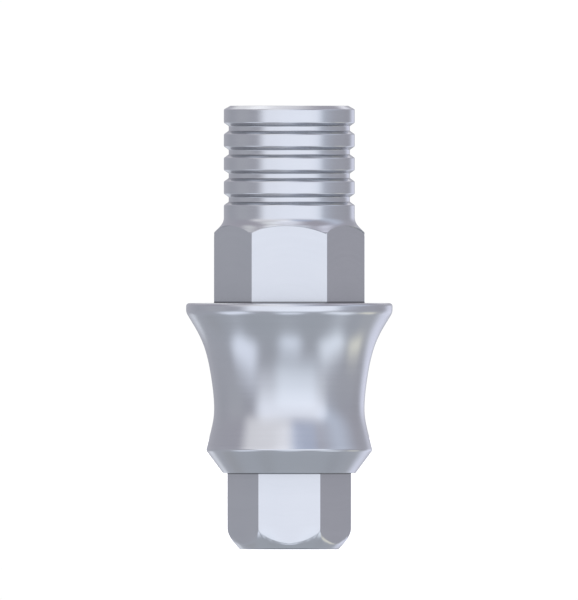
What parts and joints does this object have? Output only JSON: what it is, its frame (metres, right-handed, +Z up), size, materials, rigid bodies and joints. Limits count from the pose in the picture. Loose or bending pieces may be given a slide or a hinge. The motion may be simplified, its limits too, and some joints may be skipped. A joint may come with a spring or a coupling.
{
  "type": "dental abutment",
  "caption": "Straight dental implant abutment base: implant hexagon, waisted gum collar, crown flange, index hexagon and ringed bonding post, with a stepped screw channel through it.",
  "frame": {"origin": "centre of the hexagonal end face that goes into the implant, on the long axis", "axes": "+Z up the long axis towards the bonding post; one flat of each hexagon faces -Y and two corners of each lie on the X axis"},
  "size_m": [0.0046, 0.0046, 0.01],
  "materials": {
    "titanium": "satin turned titanium alloy, fine lathe marks on the round faces, plain milled flats"
  },
  "bodies": {
    "root": {"abutment_body": "titanium"}
  },
  "joints": []
}
